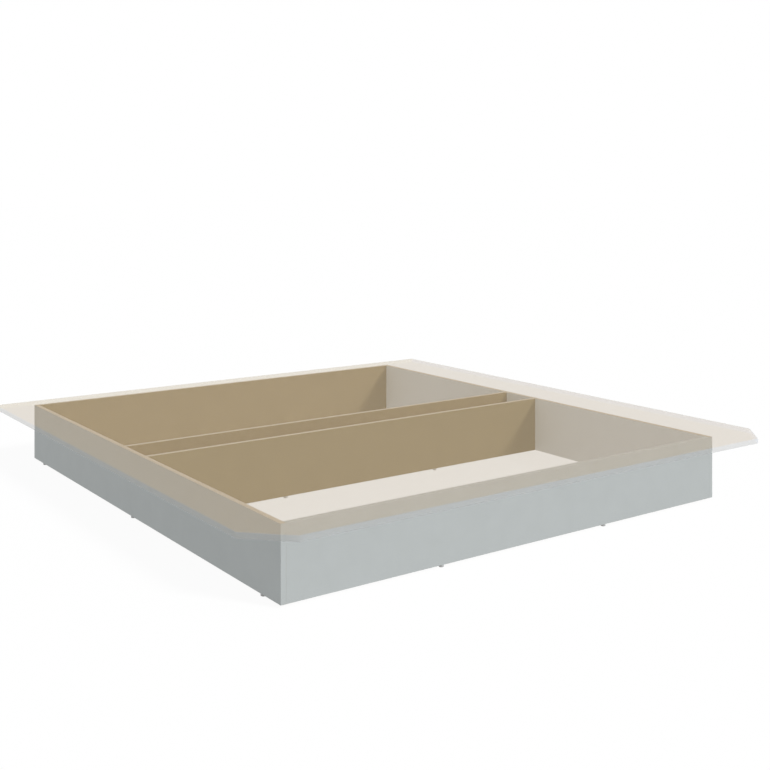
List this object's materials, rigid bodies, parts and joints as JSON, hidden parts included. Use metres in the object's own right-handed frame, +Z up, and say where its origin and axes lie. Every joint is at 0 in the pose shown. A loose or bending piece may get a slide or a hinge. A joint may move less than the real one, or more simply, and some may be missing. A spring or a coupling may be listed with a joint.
{
  "type": "platform bed",
  "caption": "Low platform bed: a wide flat deck with its foot corners cut off, lying on a recessed plinth of plain boards that stands on small round glides.",
  "frame": {"origin": "on the floor below the middle of the deck", "axes": "+X to the bed's right seen from its foot, +Y from the foot to the head, +Z up"},
  "size_m": [2, 2, 0.228],
  "materials": {
    "deck_board": "satin",
    "deck_band": "satin",
    "grey_board": "matte",
    "brown_board": "matte",
    "end_band": "matte",
    "zinc": "satin",
    "steel": "satin",
    "beech": "matte",
    "glide_plastic": "matte"
  },
  "bodies": {
    "root": {"deck_panel": "deck_board", "deck_band_foot": "deck_band", "deck_band_left": "deck_band", "deck_band_right": "deck_band", "deck_band_head": "deck_band", "deck_band_left_corner": "deck_band", "deck_band_right_corner": "deck_band", "side_board_left": "grey_board", "side_board_right": "grey_board", "foot_board": "grey_board", "head_end_board": "brown_board", "middle_board_foot_side": "brown_board", "middle_board_head_side": "brown_board", "end_band_left": "end_band", "end_band_right": "end_band", "cam_discs": "zinc", "cam_bolts": "steel", "joint_dowels": "beech", "glides": "glide_plastic"}
  },
  "joints": []
}
